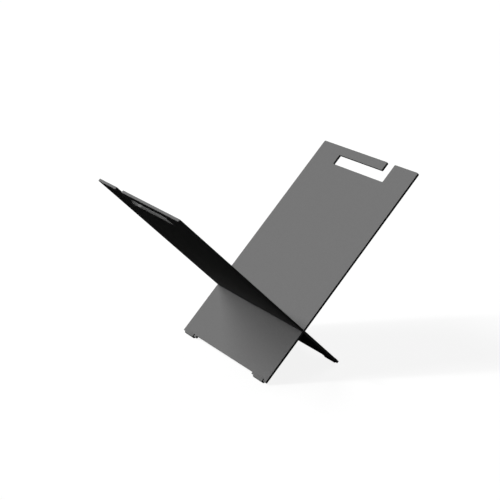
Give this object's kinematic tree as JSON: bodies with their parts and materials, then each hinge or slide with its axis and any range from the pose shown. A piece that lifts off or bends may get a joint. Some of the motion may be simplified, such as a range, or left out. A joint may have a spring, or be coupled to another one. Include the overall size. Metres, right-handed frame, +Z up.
{
  "type": "log holder",
  "caption": "Free-standing X-shaped log holder: flat steel panels cross in a half-lap to form a V trough, with an open carrying cut-out in each top edge and capped feet.",
  "frame": {"origin": "middle of the footprint, on the floor under the crossing line", "axes": "+X towards the top of the right panel, +Y along the crossing line from front to rear, +Z up"},
  "size_m": [0.5396, 0.3, 0.3587],
  "materials": {
    "powder_coat": "fine matt powder coat",
    "foot_cap": "matt moulded"
  },
  "bodies": {
    "right_half": {"right_panel": "powder_coat", "right_panel_front_foot_cap": "foot_cap", "right_panel_rear_foot_cap": "foot_cap"},
    "left_half": {"left_panel": "powder_coat", "left_panel_front_foot_cap": "foot_cap", "left_panel_rear_foot_cap": "foot_cap"}
  },
  "joints": [
    {"name": "panel_slide", "type": "slide", "parent": "right_half", "child": "left_half", "axis": [0, 1, 0], "range_m": [0, 0.31]}
  ]
}
